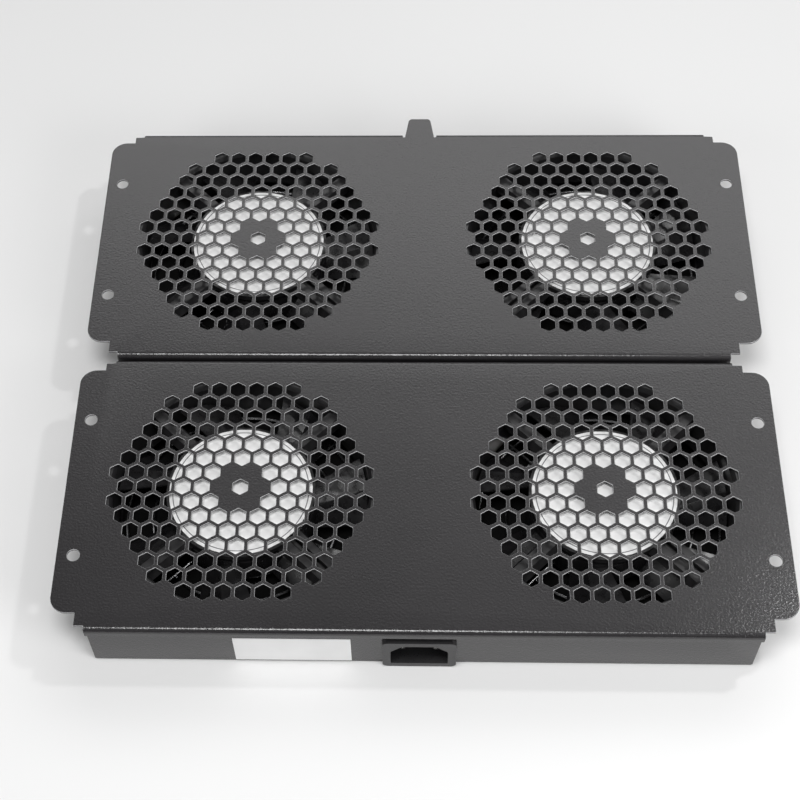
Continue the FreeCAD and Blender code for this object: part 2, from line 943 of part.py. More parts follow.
def earth_lead():
    """From the boot's end up to the ring terminal below the lid."""
    barrel_z = lid_underside - earth_ring_thickness - lead_radius
    barrel_y = earth_y - earth_ring_radius
    turn_y = (boot_rear_y + barrel_y - earth_barrel_length) / 2
    return lead(
        [
            Vector(inlet_x, boot_rear_y - lead_boot_reach, earth_lead_height),
            Vector(inlet_x, turn_y - sheet, earth_lead_height),
            Vector(inlet_x, turn_y + sheet, barrel_z),
            Vector(inlet_x, barrel_y, barrel_z),
        ]
    )


def earth_terminal(wire):
    """A flat ring with a tongue that lies on the earth lead."""
    ring_base = lid_underside - earth_ring_thickness
    ring = flat_post(
        inlet_x, earth_y, ring_base, lid_underside, earth_ring_radius, sleeve_sides
    )
    length = earth_ring_radius + earth_barrel_length
    tongue = Part.makeBox(
        2 * lead_radius,
        length,
        earth_ring_thickness,
        Vector(inlet_x - lead_radius, earth_y - length, ring_base),
    )
    hole = flat_post(inlet_x, earth_y, ring_base, lid_underside, stud_radius)
    return ring.fuse(tongue).cut(hole).cut(wire).removeSplitter()


def earth_stud():
    """A stud welded below the front lid."""
    low = lid_underside - earth_stud_length
    return flat_post(inlet_x, earth_y, low, lid_underside, stud_radius)


def earth_nut():
    """The nut that clamps the ring terminal."""
    base = lid_underside - earth_ring_thickness - nut_height
    return hex_nut(inlet_x, earth_y, base, nut_across_flats, nut_height, stud_radius)


# ---------------------------------------------------------------- joints between the sections


def joining_spacers():
    """Tubes that keep the two sections apart."""
    spacers = []
    for x in join_places():
        body = flat_bar_y(x, join_height, front_rear_wall_y, rear_front_wall_y, join_spacer_radius)
        hole = flat_bar_y(x, join_height, front_rear_wall_y, rear_front_wall_y, join_hole_radius)
        spacers.append(body.cut(hole))
    return group(spacers)


def joining_bolts():
    """Hexagon bolts from the front section into the rear one."""
    head_end = front_rear_wall_y - sheet
    nut_start = rear_front_wall_y + sheet
    tip = nut_start + join_nut_height + join_thread_end
    bolts = []
    for x in join_places():
        head_start = head_end - join_head_height
        head = hex_bar_y(x, join_height, head_start, head_end, join_head_across_flats)
        shank = flat_bar_y(x, join_height, head_end - join_head_height / 2, tip, join_bolt_radius)
        bolts.append(head.fuse(shank).removeSplitter())
    return group(bolts)


def joining_nuts():
    """Nuts on the joining bolts."""
    start = rear_front_wall_y + sheet
    end = start + join_nut_height
    nuts = []
    for x in join_places():
        body = hex_bar_y(x, join_height, start, end, join_head_across_flats)
        nuts.append(body.cut(flat_bar_y(x, join_height, start, end, join_bolt_radius)))
    return group(nuts)


def lead_grommets(leads):
    """Flanged sleeves that carry the rear fans' leads through both walls."""
    start = front_rear_wall_y - sheet
    end = rear_front_wall_y + sheet
    z = lead_entry_height
    flange = grommet_flange_thickness
    grommets = []
    for side in side_x:
        x = link_lead_x(side)
        sleeve = flat_bar_y(x, z, start, end, grommet_radius)
        low = flat_bar_y(x, z, start - flange, start, grommet_flange_radius)
        high = flat_bar_y(x, z, end, end + flange, grommet_flange_radius)
        grommets.append(sleeve.multiFuse([low, high]).cut(group(leads)).removeSplitter())
    return group(grommets)


def front_label():
    """The rectangular label on the front wall."""
    return Part.makeBox(
        front_label_width,
        label_thickness,
        front_label_height,
        Vector(front_label_left, inlet_wall_y - label_thickness, front_label_base),
    )


# ---------------------------------------------------------------- all pieces


def build():
    """Every piece by name."""
    pieces = {}
    for row in row_y:
        pieces[f"{row}_lid"] = lid(row)
        for side, sign in (("left", -1), ("right", 1)):
            pieces[f"{row}_{side}_end_plate"] = end_plate(row, sign)
    pieces["front_section_front_wall"] = inlet_wall()
    pieces["front_section_rear_wall"] = joining_wall(front_rear_wall_y, -1)
    pieces["rear_section_front_wall"] = joining_wall(rear_front_wall_y, 1)
    pieces["rear_section_rear_wall"] = long_wall(rear_row_y + wall_rear_face, -1)

    bearings = []
    fan_pieces = {
        "frame": fan_frame(),
        "impeller": impeller(),
        "shaft": fan_shaft(),
        "stator": fan_stator(),
        "label": hub_label(),
        "guard": finger_guard(),
    }
    for row, side in fans:
        for name, shape in fan_pieces.items():
            pieces[f"{row}_{side}_fan_{name}"] = fan_place(shape, row, side)
        bearings.append(fan_place(fan_bearing(), row, side))
    pieces["fan_bearings"] = group(bearings)
    pieces["fan_studs"] = fan_studs()
    pieces["fan_stud_nuts"] = fan_stud_nuts()
    pieces["guard_screws"] = guard_screws()

    leads = {
        "front_left_fan_lead": front_left_lead(),
        "front_right_fan_lead": front_right_lead(),
        "rear_left_fan_lead": rear_lead("left"),
        "rear_right_fan_lead": rear_lead("right"),
        "earth_lead": earth_lead(),
    }
    pieces.update(leads)
    pieces["inlet_housing"] = inlet_housing()
    pieces["inlet_pins"] = inlet_pins()
    pieces["inlet_boot"] = inlet_boot(list(leads.values()))
    pieces["earth_terminal"] = earth_terminal(leads["earth_lead"])
    pieces["earth_stud"] = earth_stud()
    pieces["earth_nut"] = earth_nut()
    pieces["joining_spacers"] = joining_spacers()
    pieces["joining_bolts"] = joining_bolts()
    pieces["joining_nuts"] = joining_nuts()
    pieces["lead_grommets"] = lead_grommets(list(leads.values()))
    pieces["front_label"] = front_label()
    return pieces


for name, shape in build().items():
    shape.exportStep(f"parts/{name}.step")
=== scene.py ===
import math

import bmesh
import bpy
from mathutils import Euler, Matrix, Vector


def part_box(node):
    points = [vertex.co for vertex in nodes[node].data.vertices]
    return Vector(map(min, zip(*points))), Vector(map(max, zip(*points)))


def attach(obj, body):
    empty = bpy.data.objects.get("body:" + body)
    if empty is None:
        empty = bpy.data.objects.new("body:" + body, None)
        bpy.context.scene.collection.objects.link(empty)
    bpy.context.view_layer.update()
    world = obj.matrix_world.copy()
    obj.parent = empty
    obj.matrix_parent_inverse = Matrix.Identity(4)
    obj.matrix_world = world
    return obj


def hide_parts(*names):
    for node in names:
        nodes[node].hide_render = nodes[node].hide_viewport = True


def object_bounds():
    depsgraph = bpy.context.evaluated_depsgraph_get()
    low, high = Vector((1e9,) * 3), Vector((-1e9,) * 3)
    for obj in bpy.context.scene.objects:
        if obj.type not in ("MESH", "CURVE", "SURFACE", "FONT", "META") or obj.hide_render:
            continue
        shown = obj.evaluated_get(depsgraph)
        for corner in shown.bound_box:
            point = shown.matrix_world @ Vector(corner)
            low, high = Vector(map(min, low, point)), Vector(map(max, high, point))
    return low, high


# Rack fan tray: finishes, wire guards, screws, floor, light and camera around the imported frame.
# Metres. X runs along the fixing ears, Y from the mains inlet to the rear, Z up.

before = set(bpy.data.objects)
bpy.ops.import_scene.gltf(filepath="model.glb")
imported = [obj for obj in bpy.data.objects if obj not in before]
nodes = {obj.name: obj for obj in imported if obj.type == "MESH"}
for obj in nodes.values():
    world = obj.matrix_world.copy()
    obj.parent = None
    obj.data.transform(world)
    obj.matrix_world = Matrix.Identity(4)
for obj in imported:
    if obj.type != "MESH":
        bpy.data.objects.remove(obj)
bpy.context.view_layer.update()
cad_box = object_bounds()
scene = bpy.context.scene

ROWS = ("front", "rear")
SIDES = ("left", "right")
FANS = [f"{row}_{side}" for row in ROWS for side in SIDES]


def middle(node):
    """The middle of one node's box."""
    low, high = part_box(node)
    return (low + high) / 2


# Each fan's axis passes through the middle of its hub label.
FAN_AT = {fan: middle(f"{fan}_fan_label") for fan in FANS}

# ---------------------------------------------------------------- camera

CAMERA_AT = (-0.0031009, -0.436099, 0.6517603)
# Degrees about X, Y and Z
CAMERA_TURN = (33.3736, 1.6336, 1.3600)

camera = bpy.data.objects.new("camera", bpy.data.cameras.new("camera"))
scene.collection.objects.link(camera)
camera.location = CAMERA_AT
camera.rotation_euler = Euler([math.radians(angle) for angle in CAMERA_TURN])
camera.data.lens = 73.553
camera.data.sensor_width = 36.0
camera.data.shift_x = 0.05625
camera.data.shift_y = -0.000625
camera.data.clip_start = 0.01
camera.data.clip_end = 50.0
scene.camera = camera

# ---------------------------------------------------------------- materials

# Sockets of a mix node that is set to colours
MIX_FACTOR = 0
MIX_A = 6
MIX_B = 7
MIX_RESULT = 2
# How steeply a rim's normal rises where its painted highlight grey fades in and where it fades out
RIM_FADES_IN = (0.15, 0.35)
RIM_FADES_OUT = (0.72, 0.82)
# How far the painted highlight grey reaches below the top of the tray, and the height of its fade
RIM_DEPTH = 0.0005
RIM_FADE = 0.0001


class Nodes:
    """A short way to write one material's node tree."""

    def __init__(self, name):
        self.material = bpy.data.materials.new(name)
        self.material.use_nodes = True
        self.tree = self.material.node_tree
        self.tree.nodes.clear()
        self.shader = self.new("ShaderNodeBsdfPrincipled")
        output = self.new("ShaderNodeOutputMaterial")
        self.link(self.shader.outputs["BSDF"], output.inputs["Surface"])
        self.place = self.new("ShaderNodeTexCoord").outputs["Object"]

    def new(self, kind, **values):
        node = self.tree.nodes.new(kind)
        for key, value in values.items():
            setattr(node, key, value)
        return node

    def link(self, a, b):
        self.tree.links.new(a, b)

    def set(self, **values):
        """Uniform values, set on the shader's own sockets."""
        for key, value in values.items():
            self.shader.inputs[key.replace("_", " ")].default_value = value

    def noise(self, scale, detail=2.0, roughness=0.5, stretch=None):
        """Noise in object space, its scale in turns per metre."""
        node = self.new("ShaderNodeTexNoise")
        node.inputs["Scale"].default_value = scale
        node.inputs["Detail"].default_value = detail
        node.inputs["Roughness"].default_value = roughness
        source = self.place
        if stretch:
            mapping = self.new("ShaderNodeMapping")
            mapping.inputs["Scale"].default_value = stretch
            self.link(source, mapping.inputs["Vector"])
            source = mapping.outputs["Vector"]
        self.link(source, node.inputs["Vector"])
        return node.outputs["Fac"]

    def shades(self, fac, low, high, start=0.3, end=0.7):
        """A colour that goes from low to high as fac goes from start to end."""
        node = self.new("ShaderNodeValToRGB")
        for element, position, color in zip(node.color_ramp.elements, (start, end), (low, high)):
            element.position = position
            element.color = (*color, 1.0)
        self.link(fac, node.inputs["Fac"])
        return node.outputs["Color"]

    def spread(self, fac, low, high, start=0.3, end=0.7):
        """A number that goes from low to high as fac goes from start to end."""
        node = self.new("ShaderNodeMapRange")
        values = {"From Min": start, "From Max": end, "To Min": low, "To Max": high}
        for key, value in values.items():
            node.inputs[key].default_value = value
        self.link(fac, node.inputs["Value"])
        return node.outputs["Result"]

    def mix(self, fac, a, b, blend="MIX"):
        """Two colours, mixed by fac."""
        node = self.new("ShaderNodeMix", data_type="RGBA", blend_type=blend)
        for key, value in ((MIX_FACTOR, fac), (MIX_A, a), (MIX_B, b)):
            if hasattr(value, "is_output"):
                self.link(value, node.inputs[key])
            else:
                node.inputs[key].default_value = value if key == MIX_FACTOR else (*value, 1.0)
        return node.outputs[MIX_RESULT]

    def math(self, operation, a, b=None):
        """The result of a sum on numbers, each given or linked."""
        node = self.new("ShaderNodeMath", operation=operation)
        for i, value in enumerate((a, b)):
            if hasattr(value, "is_output"):
                self.link(value, node.inputs[i])
            elif value is not None:
                node.inputs[i].default_value = value
        return node.outputs[0]

    def vector_math(self, operation, a, b=None):
        """The outputs of a sum on a linked vector and a given one."""
        node = self.new("ShaderNodeVectorMath", operation=operation)
        self.link(a, node.inputs[0])
        if b is not None:
            node.inputs[1].default_value = b
        return node.outputs

    def split(self, vector):
        """The X, Y and Z of a vector."""
        node = self.new("ShaderNodeSeparateXYZ")
        self.link(vector, node.inputs[0])
        return node.outputs

    def rim(self):
        """One on the rounded rims of the top sheet, where a light grey is painted as the highlight
        they catch, and zero on its bends.
        """
        rise = self.split(self.new("ShaderNodeTexCoord").outputs["Normal"])["Z"]
        height = self.split(self.place)["Z"]
        top = cad_box[1].z
        off_the_side = self.spread(rise, 0.0, 1.0, *RIM_FADES_IN)
        off_the_flat = self.spread(rise, 1.0, 0.0, *RIM_FADES_OUT)
        near_the_top = self.spread(height, 0.0, 1.0, top - RIM_DEPTH, top - RIM_DEPTH + RIM_FADE)
        turned = self.math("MULTIPLY", off_the_side, off_the_flat)
        return self.math("MULTIPLY", turned, near_the_top)

    def bump(self, height, distance, strength):
        """A normal that is tilted by height, whose full swing is distance."""
        node = self.new("ShaderNodeBump")
        node.inputs["Strength"].default_value = strength
        node.inputs["Distance"].default_value = distance
        self.link(height, node.inputs["Height"])
        return node.outputs["Normal"]

    def finish(self, color, roughness=None, normal=None):
        """The material, once its colour, roughness and normal are linked."""
        inputs = {"Base Color": color, "Roughness": roughness, "Normal": normal}
        for key, value in inputs.items():
            if value is not None:
                self.link(value, self.shader.inputs[key])
        return self.material


# Light grey painted on the top sheet's rounded rims as a highlight, in place of the light they
# catch
RIM_PAINTED_HIGHLIGHT_GREY = (0.52, 0.52, 0.53)
LABEL_MOTTLE = 0.03
LABEL_RING_INSET = 0.0016
LABEL_RING_CORE = 0.00012
LABEL_RING_EDGE = 0.00028
LABEL_RING_GREY = (0.10, 0.10, 0.11)
STRIPE_FADE = 0.0001


def powder_coat():
    """Satin dark grey powder coat with an orange-peel surface and a light grey painted highlight on
    its rims.
    """
    n = Nodes("powder_coated_steel_look")
    n.set(Metallic=0.0, IOR=1.62)
    cloud = n.noise(14.0, detail=3.0, roughness=0.6)
    grain = n.noise(2400.0, roughness=0.6)
    peel = n.noise(1000.0, roughness=0.55)
    color = n.shades(cloud, (0.0190, 0.0178, 0.0190), (0.0238, 0.0222, 0.0238))
    flecks = n.shades(grain, (0.90, 0.90, 0.90), (1.06, 1.06, 1.07), start=0.36, end=0.62)
    color = n.mix(1.0, color, flecks, blend="MULTIPLY")
    # Painted highlight: light grey on the rounded rims of the top sheet
    color = n.mix(n.rim(), color, RIM_PAINTED_HIGHLIGHT_GREY)
    rough = n.spread(cloud, 0.20, 0.23)
    return n.finish(color, rough, n.bump(peel, distance=0.00012, strength=0.85))


def cast_black():
    """Satin black paint on the cast fan frames."""
    n = Nodes("fan_frame_black_look")
    n.set(Metallic=0.0, IOR=1.55)
    cloud = n.noise(40.0, detail=3.0, roughness=0.6)
    grain = n.noise(2200.0, roughness=0.6)
    color = n.shades(cloud, (0.014, 0.014, 0.015), (0.022, 0.021, 0.022))
    rough = n.spread(cloud, 0.28, 0.42)
    return n.finish(color, rough, n.bump(grain, distance=0.00002, strength=0.4))


def moulded_black():
    """Glossy black moulding with faint flow marks."""
    n = Nodes("impeller_black_look")
    n.set(IOR=1.5)
    cloud = n.noise(60.0, detail=3.0, roughness=0.55)
    flow = n.noise(300.0, stretch=(1.0, 1.0, 0.2))
    color = n.shades(cloud, (0.011, 0.011, 0.012), (0.018, 0.017, 0.018))
    rough = n.spread(flow, 0.22, 0.36)
    return n.finish(color, rough, n.bump(flow, distance=0.00002, strength=0.25))


def zinc():
    """Bright zinc plate with a fine spangle and a wide stain."""
    n = Nodes("zinc_steel_look")
    n.set(Metallic=1.0)
    spangle = n.noise(900.0, detail=3.0, roughness=0.6)
    stain = n.noise(120.0, detail=3.0, roughness=0.6)
    color = n.shades(stain, (0.50, 0.50, 0.50), (0.66, 0.66, 0.63))
    rough = n.spread(spangle, 0.26, 0.46)
    return n.finish(color, rough, n.bump(spangle, distance=0.00001, strength=0.4))


def bronze():
    """Sintered bronze with dark pores."""
    n = Nodes("bearing_bronze_look")
    n.set(Metallic=1.0)
    pores = n.noise(2600.0, detail=3.0, roughness=0.7)
    color = n.shades(pores, (0.30, 0.19, 0.09), (0.52, 0.37, 0.20), start=0.35, end=0.6)
    rough = n.spread(pores, 0.3, 0.5)
    return n.finish(color, rough, n.bump(pores, distance=0.00002, strength=0.5))


def windings():
    """Copper turns side by side."""
    n = Nodes("winding_copper_look")
    n.set(Metallic=1.0)
    turns = n.noise(1200.0, stretch=(0.2, 0.2, 3.0))
    color = n.shades(turns, (0.20, 0.08, 0.03), (0.48, 0.24, 0.11), start=0.35, end=0.6)
    rough = n.spread(turns, 0.25, 0.45)
    return n.finish(color, rough, n.bump(turns, distance=0.00004, strength=0.6))


def label_film(name, white, centre=None, ring=None):
    """Satin film. Centre and ring give a thin printed circle near a round label's edge."""
    n = Nodes(name)
    n.set(IOR=1.45)
    fibre = n.noise(900.0, detail=3.0, roughness=0.6)
    cloud = n.noise(55.0)
    color = n.shades(cloud, (white - LABEL_MOTTLE,) * 3, (white + LABEL_MOTTLE,) * 3)
    if centre is not None:
        offset = n.vector_math("SUBTRACT", n.place, centre)[0]
        flat = n.vector_math("MULTIPLY", offset, (1.0, 1.0, 0.0))[0]
        length = n.vector_math("LENGTH", flat)["Value"]
        away = n.math("ABSOLUTE", n.math("SUBTRACT", length, ring))
        line = n.spread(away, 1.0, 0.0, LABEL_RING_CORE, LABEL_RING_EDGE)
        color = n.mix(line, color, LABEL_RING_GREY)
    rough = n.spread(cloud, 0.34, 0.48)
    return n.finish(color, rough, n.bump(fibre, distance=0.00001, strength=0.3))


def bright_wire():
    """Bright plated wire."""
    n = Nodes("guard_wire_look")
    n.set(Metallic=1.0)
    draw = n.noise(1500.0)
    stain = n.noise(90.0)
    color = n.shades(stain, (0.60, 0.60, 0.61), (0.72, 0.72, 0.74))
    rough = n.spread(draw, 0.14, 0.28)
    return n.finish(color, rough, n.bump(draw, distance=0.00001, strength=0.3))


def inlet_plastic():
    """Nearly black moulding with a fine spark-eroded surface."""
    n = Nodes("inlet_plastic_look")
    n.set(IOR=1.5)
    spark = n.noise(2000.0, roughness=0.6)
    cloud = n.noise(90.0)
    color = n.shades(cloud, (0.016, 0.016, 0.017), (0.024, 0.023, 0.024))
    rough = n.spread(spark, 0.26, 0.38)
    return n.finish(color, rough, n.bump(spark, distance=0.00003, strength=0.5))


def nickel():
    """Nickel plate, brushed one way."""
    n = Nodes("pin_metal_look")
    n.set(Metallic=1.0)
    brushed = n.noise(700.0, stretch=(1.0, 0.12, 1.0))
    color = n.shades(brushed, (0.66, 0.65, 0.62), (0.80, 0.79, 0.77))
    rough = n.spread(brushed, 0.16, 0.30)
    return n.finish(color, rough, n.bump(brushed, distance=0.00001, strength=0.3))


def earth_sleeve():
    """Insulation that is green on one side and yellow on the other."""
    n = Nodes("earth_insulation_look")
    n.set(IOR=1.47)
    fine = n.noise(1200.0)
    wide = n.math("SUBTRACT", n.split(n.place)["X"], middle("earth_lead").x)
    stripe = n.spread(wide, 0.0, 1.0, -STRIPE_FADE, STRIPE_FADE)
    color = n.mix(stripe, (0.05, 0.26, 0.07), (0.72, 0.62, 0.06))
    rough = n.spread(fine, 0.35, 0.5)
    return n.finish(color, rough, n.bump(fine, distance=0.00001, strength=0.3))


def rubber():
    """Matt black rubber."""
    n = Nodes("black_rubber_look")
    n.set(IOR=1.48)
    cloud = n.noise(150.0, detail=3.0, roughness=0.6)
    fine = n.noise(2000.0, roughness=0.6)
    color = n.shades(cloud, (0.014, 0.014, 0.014), (0.026, 0.025, 0.025))
    rough = n.spread(cloud, 0.5, 0.68)
    return n.finish(color, rough, n.bump(fine, distance=0.00002, strength=0.5))


def pale_floor():
    """Matt floor, nearly white."""
    n = Nodes("floor_look")
    n.set(Roughness=0.9, Specular_IOR_Level=0.2)
    return n.finish(n.shades(n.noise(3.0), (0.80, 0.80, 0.80), (0.83, 0.83, 0.83)))


def painted_shadow_sheet():
    """A nearly black sheet on the floor: painted shadow under the tray."""
    n = Nodes("painted_shadow_look")
    n.set(Roughness=0.95, Specular_IOR_Level=0.1)
    return n.finish(n.shades(n.noise(6.0), (0.006, 0.006, 0.006), (0.009, 0.009, 0.009)))


# One white film for every label. It is painted darker on the front label, which faces the front
# lamps, and lighter on the hub labels in the grilles' shade: painted shade and painted light.
FRONT_LABEL_SHADED_WHITE = 0.79
HUB_LABEL_LIT_WHITE = 0.93

LOOKS = {
    "powder_coated_steel": powder_coat(),
    "fan_frame_black": cast_black(),
    "impeller_black": moulded_black(),
    "zinc_steel": zinc(),
    "bearing_bronze": bronze(),
    "winding_copper": windings(),
    "label_white": label_film("label_white_look", FRONT_LABEL_SHADED_WHITE),
    "guard_wire": bright_wire(),
    "inlet_plastic": inlet_plastic(),
    "pin_metal": nickel(),
    "earth_insulation": earth_sleeve(),
    "black_rubber": rubber(),
}

for node in nodes.values():
    slot_name = node.material_slots[0].material.name
    node.material_slots[0].material = LOOKS[slot_name]
for fan, at in FAN_AT.items():
    low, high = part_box(f"{fan}_fan_label")
    ring = (high.x - low.x) / 2 - LABEL_RING_INSET
    look = label_film(f"label_{fan}_look", HUB_LABEL_LIT_WHITE, at, ring)
    nodes[f"{fan}_fan_label"].material_slots[0].material = look

# ---------------------------------------------------------------- edges of the CAD pieces

WELD_DISTANCE = 1e-6
SMOOTH_UP_TO = math.radians(30)
FLAT_SIDED_SMOOTH_UP_TO = math.radians(50)
ROUNDED_FROM = math.radians(35)
FLAT_WITHIN = math.radians(0.5)
# Words in the names of pieces that are round in life and flat-sided in the solids
FLAT_SIDED = ("lead", "stud", "spacer", "bolt")
# Width of the rounding, by the end of a node's name
ROUNDINGS = {
    "lid": 0.0004,
    "wall": 0.0002,
    "end_plate": 0.0002,
    "fan_frame": 0.0003,
    "inlet_housing": 0.0003,
    "inlet_pins": 0.0003,
    "front_label": 0.00005,
    "nuts": 0.0003,
    "bolts": 0.0003,
    "earth_nut": 0.0003,
}


def clean_shading(angle):
    """Geometry nodes that weld a mesh and shade it smooth up to an edge angle."""
    name = f"clean_shading_{round(math.degrees(angle))}"
    group = bpy.data.node_groups.new(name, "GeometryNodeTree")
    for in_out in ("INPUT", "OUTPUT"):
        group.interface.new_socket("Geometry", in_out=in_out, socket_type="NodeSocketGeometry")
    start = group.nodes.new("NodeGroupInput")
    end = group.nodes.new("NodeGroupOutput")
    strip = group.nodes.new("GeometryNodeRemoveAttribute")
    strip.inputs["Name"].default_value = "custom_normal"
    weld = group.nodes.new("GeometryNodeMergeByDistance")
    weld.inputs["Distance"].default_value = WELD_DISTANCE
    faces = group.nodes.new("GeometryNodeSetShadeSmooth")
    faces.domain = "FACE"
    edges = group.nodes.new("GeometryNodeSetShadeSmooth")
    edges.domain = "EDGE"
    turn = group.nodes.new("GeometryNodeInputMeshEdgeAngle")
    test = group.nodes.new("FunctionNodeCompare")
    test.data_type = "FLOAT"
    test.operation = "LESS_THAN"
    test.inputs[1].default_value = angle
    link = group.links.new
    link(start.outputs[0], strip.inputs["Geometry"])
    link(strip.outputs["Geometry"], weld.inputs["Geometry"])
    link(weld.outputs["Geometry"], faces.inputs["Geometry"])
    link(faces.outputs["Geometry"], edges.inputs["Geometry"])
    link(turn.outputs["Unsigned Angle"], test.inputs[0])
    link(test.outputs["Result"], edges.inputs["Shade Smooth"])
    link(edges.outputs["Geometry"], end.inputs[0])
    return group


def round_edges(node, width, clamp):
    """Round a node's sharp edges, held back where they would meet only if clamp is set."""
    bevel = node.modifiers.new("soft_edges", "BEVEL")
    bevel.width = width
    bevel.segments = 2
    bevel.limit_method = "ANGLE"
    bevel.angle_limit = ROUNDED_FROM
    bevel.harden_normals = True
    bevel.use_clamp_overlap = clamp
    bevel.loop_slide = False


plain_shading = clean_shading(SMOOTH_UP_TO)
flat_sided_shading = clean_shading(FLAT_SIDED_SMOOTH_UP_TO)
for name, node in nodes.items():
    flat_sided = any(word in name for word in FLAT_SIDED)
    modifier = node.modifiers.new("clean_shading", "NODES")
    modifier.node_group = flat_sided_shading if flat_sided else plain_shading
    is_lid = name.endswith("lid")
    if is_lid:
        # Slivers in the flats between the vent holes would leave seams in the rounding.
        joined = node.modifiers.new("joined_flats", "DECIMATE")
        joined.decimate_type = "DISSOLVE"
        joined.angle_limit = FLAT_WITHIN
    for ending, width in ROUNDINGS.items():
        if name.endswith(ending):
            round_edges(node, width, clamp=not is_lid)

# ---------------------------------------------------------------- wire guards and their screws

GUARD_WIRE_RADIUS = 0.0008
GUARD_WIRE_SIDES = 10
GUARD_RING_RADII = (0.018, 0.030, 0.042, 0.054)
GUARD_RING_STEPS = 64
GUARD_EYE_RADIUS = 0.0036
GUARD_EYE_STEPS = 24
GUARD_SPOKE_ANGLES = (45, 135)
# Half the spacing of a fan's four screws
SCREW_OFFSET = 0.0525
# Radius and reach of the rings in a wire's domed end, as shares of the wire's radius
DOMED_END = ((0.85, 0.5), (0.45, 0.85))
SCREW_HEAD_HEIGHT = 0.0022
SCREW_HEAD_RADIUS = 0.0036
SCREW_SHANK_RADIUS = 0.00205
SCREW_TIP_RADIUS = 0.0015
SCREW_TIP_HEIGHT = 0.0006
SCREW_SIDES = 24
# Radius and distance from the crown along a pan head, as shares of its radius and height
PAN_HEAD = ((0.62, 0.0), (0.80, 0.12), (0.94, 0.38), (1.0, 0.72), (1.0, 1.0))


def mesh_piece(name, bm, look, body):
    """An object from a bmesh that rides on a body."""
    mesh = bpy.data.meshes.new(name)
    bm.to_mesh(mesh)
    bm.free()
    for polygon in mesh.polygons:
        polygon.use_smooth = True
    mesh.set_sharp_from_angle(angle=ROUNDED_FROM)
    piece = bpy.data.objects.new(name, mesh)
    scene.collection.objects.link(piece)
    mesh.materials.append(look)
    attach(piece, body)
    return piece


def circle(centre, radius, steps):
    """Points round an upright axis."""
    return [
        centre + Vector((math.cos(t), math.sin(t), 0)) * radius
        for t in (2 * math.pi * i / steps for i in range(steps))
    ]


def join_rings(bm, low, high):
    """A band of faces between two rings of equal count."""
    count = len(low)
    for k in range(count):
        after = (k + 1) % count
        bm.faces.new((low[k], low[after], high[after], high[k]))


def wire_ring(bm, centre, side, top, radius):
    """The points round one place on a wire."""
    turns = (2 * math.pi * k / GUARD_WIRE_SIDES for k in range(GUARD_WIRE_SIDES))
    return [
        bm.verts.new(centre + side * math.cos(t) * radius + top * math.sin(t) * radius)
        for t in turns
    ]


def wire(bm, points, closed):
    """A round wire through points, its ends domed unless it is closed."""
    rings = []
    count = len(points)
    for i, point in enumerate(points):
        after = points[(i + 1) % count] if closed or i < count - 1 else point
        before = points[i - 1] if closed or i > 0 else point
        along = (after - before).normalized()
        side = along.cross(Vector((0, 0, 1))).normalized()
        top = side.cross(along)
        sizes = [(1.0, 0.0)]
        if not closed and i == 0:
            sizes = [(size, -reach) for size, reach in reversed(DOMED_END)] + sizes
        if not closed and i == count - 1:
            sizes += DOMED_END
        for size, reach in sizes:
            centre = point + along * GUARD_WIRE_RADIUS * reach
            rings.append(wire_ring(bm, centre, side, top, GUARD_WIRE_RADIUS * size))
    for low, high in zip(rings, rings[1:]):
        join_rings(bm, low, high)
    if closed:
        join_rings(bm, rings[-1], rings[0])
    else:
        bm.faces.new(rings[0])
        bm.faces.new(rings[-1][::-1])


def finger_guard(fan):
    """Rings below two crossed spokes, which end in eyes for the screws."""
    cad = f"{fan}_fan_guard"
    low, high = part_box(cad)
    ring_centre = Vector((FAN_AT[fan].x, FAN_AT[fan].y, low.z + GUARD_WIRE_RADIUS))
    spoke_centre = Vector((FAN_AT[fan].x, FAN_AT[fan].y, high.z - GUARD_WIRE_RADIUS))
    eye_reach = SCREW_OFFSET * math.sqrt(2)
    spoke_reach = eye_reach - GUARD_EYE_RADIUS
    bm = bmesh.new()
    for radius in GUARD_RING_RADII:
        wire(bm, circle(ring_centre, radius, GUARD_RING_STEPS), closed=True)
    for angle in GUARD_SPOKE_ANGLES:
        t = math.radians(angle)
        out = Vector((math.cos(t), math.sin(t), 0))
        ends = [spoke_centre - out * spoke_reach, spoke_centre, spoke_centre + out * spoke_reach]
        wire(bm, ends, closed=False)
        for sign in (-1, 1):
            eye = spoke_centre + out * sign * eye_reach
            wire(bm, circle(eye, GUARD_EYE_RADIUS, GUARD_EYE_STEPS), closed=True)
    piece = mesh_piece(f"{cad}_wire", bm, LOOKS["guard_wire"], "tray")
    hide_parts(cad)


def turned(bm, centre, profile):
    """A solid of revolution about an upright axis from (radius, z) points, ends closed."""
    rings = []
    for radius, z in profile:
        points = circle(Vector((centre.x, centre.y, z)), radius, SCREW_SIDES)
        rings.append([bm.verts.new(point) for point in points])
    for low, high in zip(rings, rings[1:]):
        join_rings(bm, low, high)
    bm.faces.new(rings[0][::-1])
    bm.faces.new(rings[-1])


def pan_head_screws():
    """The sixteen guard screws, their heads below the guards' eyes."""
    low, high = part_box("guard_screws")
    profile = [
        (SCREW_HEAD_RADIUS * radius, low.z + SCREW_HEAD_HEIGHT * height)
        for radius, height in PAN_HEAD
    ]
    profile += [
        (SCREW_SHANK_RADIUS, low.z + SCREW_HEAD_HEIGHT),
        (SCREW_SHANK_RADIUS, high.z - SCREW_TIP_HEIGHT),
        (SCREW_TIP_RADIUS, high.z),
    ]
    bm = bmesh.new()
    for fan in FANS:
        for sx in (-1, 1):
            for sy in (-1, 1):
                turned(bm, FAN_AT[fan] + Vector((sx, sy, 0)) * SCREW_OFFSET, profile)
    bmesh.ops.recalc_face_normals(bm, faces=bm.faces)
    screws = mesh_piece("guard_pan_head_screws", bm, LOOKS["zinc_steel"], "tray")
    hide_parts("guard_screws")


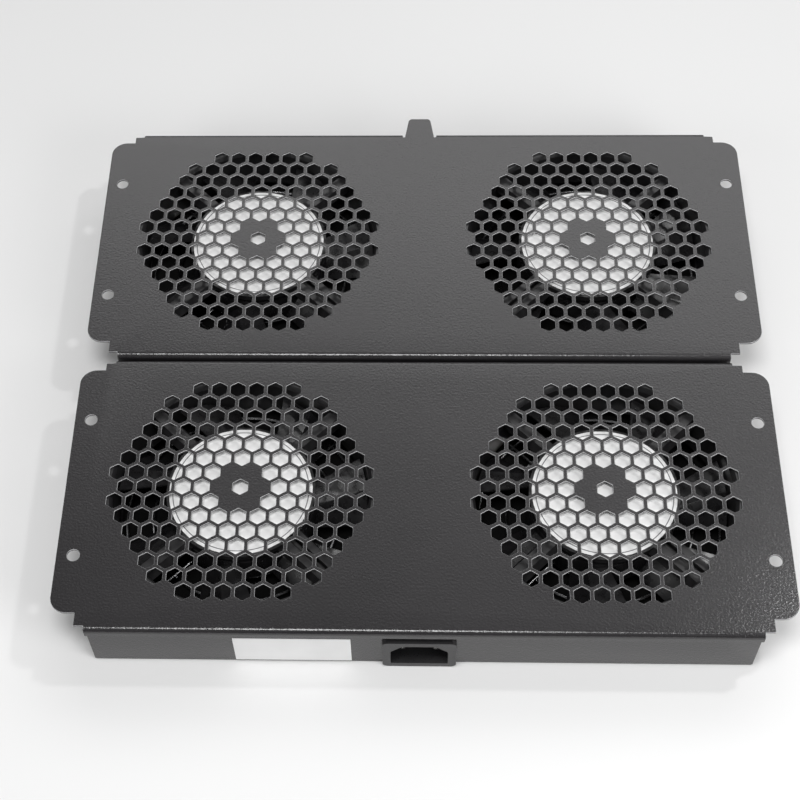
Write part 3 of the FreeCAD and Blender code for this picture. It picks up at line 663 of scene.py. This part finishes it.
for fan in FANS:
    finger_guard(fan)
pan_head_screws()

# ---------------------------------------------------------------- floor

FLOOR_HALF_SIZE = 4.0
FLOOR_CELLS = 8
# Below the tray, so that nothing lies in one plane with it
FLOOR_DROP = 0.0002
SHADOW_SHEET_DROP = 0.0001
# Between the painted shadow sheet and the outsides of the walls
SHADOW_SHEET_MARGIN = 0.0004


def stage_piece(name, bm, look, z=0.0):
    """A piece of the stage, which isn't part of the object."""
    mesh = bpy.data.meshes.new(name)
    bm.to_mesh(mesh)
    bm.free()
    piece = bpy.data.objects.new(name, mesh)
    scene.collection.objects.link(piece)
    piece.location.z = z
    mesh.materials.append(look)


bm = bmesh.new()
bmesh.ops.create_grid(bm, x_segments=FLOOR_CELLS, y_segments=FLOOR_CELLS, size=FLOOR_HALF_SIZE)
stage_piece("floor", bm, pale_floor(), cad_box[0].z - FLOOR_DROP)

# A nearly black sheet is painted shadow on the floor inside the walls, where the fans' openings
# show it, and only there.
bm = bmesh.new()
for row in ROWS:
    x0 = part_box(f"{row}_left_end_plate")[0].x + SHADOW_SHEET_MARGIN
    x1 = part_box(f"{row}_right_end_plate")[1].x - SHADOW_SHEET_MARGIN
    y0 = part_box(f"{row}_section_front_wall")[0].y + SHADOW_SHEET_MARGIN
    y1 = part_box(f"{row}_section_rear_wall")[1].y - SHADOW_SHEET_MARGIN
    z = cad_box[0].z - SHADOW_SHEET_DROP
    bm.faces.new([bm.verts.new((x, y, z)) for x, y in ((x0, y0), (x1, y0), (x1, y1), (x0, y1))])
stage_piece("painted_shadow", bm, painted_shadow_sheet())

# ---------------------------------------------------------------- light

BASE_MIDDLE = (0.0, 0.0, 0.0)
# Place, target, size and watts of each soft box
LAMPS = {
    "rear_soft_box": ((0.25, 1.35, 1.3), BASE_MIDDLE, (2.2, 0.75), 10.50),
    "rear_high_soft_box": ((0.15, 0.83, 1.62), BASE_MIDDLE, (1.6, 0.45), 1.15),
    "top_soft_box": ((-0.10, -0.35, 1.45), BASE_MIDDLE, (0.6, 0.4), 10.30),
    "corner_soft_box": ((0.56, 0.24, 1.03), (0.1575, -0.144, 0.03), (0.07, 0.07), 2.05),
    "right_soft_box": ((0.85, -0.75, 0.62), BASE_MIDDLE, (0.55, 0.55), 3.28),
    "left_soft_box": ((-0.85, -0.75, 0.62), BASE_MIDDLE, (0.55, 0.55), 2.62),
    "front_right_soft_box": ((0.52, -0.45, 0.28), (0.08, -0.14, 0.0), (0.4, 0.4), 1.40),
    "front_left_soft_box": ((-0.52, -0.5, 0.28), (-0.08, -0.14, 0.0), (0.3, 0.3), 0.33),
}
ROOM_LIGHT = 0.107


def soft_box(name, place, target, size, power):
    """A rectangular area lamp that faces its target."""
    light = bpy.data.lights.new(name, "AREA")
    light.shape = "RECTANGLE"
    light.size, light.size_y = size
    light.energy = power
    lamp = bpy.data.objects.new(name, light)
    scene.collection.objects.link(lamp)
    lamp.location = place
    lamp.rotation_mode = "QUATERNION"
    lamp.rotation_quaternion = (Vector(target) - Vector(place)).to_track_quat("-Z", "Y")


for name, (place, target, size, power) in LAMPS.items():
    soft_box(name, place, target, size, power)

world = bpy.data.worlds.new("studio")
scene.world = world
world.use_nodes = True
background = world.node_tree.nodes["Background"]
background.inputs["Color"].default_value = (1.0, 1.0, 1.0, 1.0)
background.inputs["Strength"].default_value = ROOM_LIGHT

scene.view_settings.view_transform = "Standard"

# ---------------------------------------------------------------- end

bpy.context.view_layer.update()
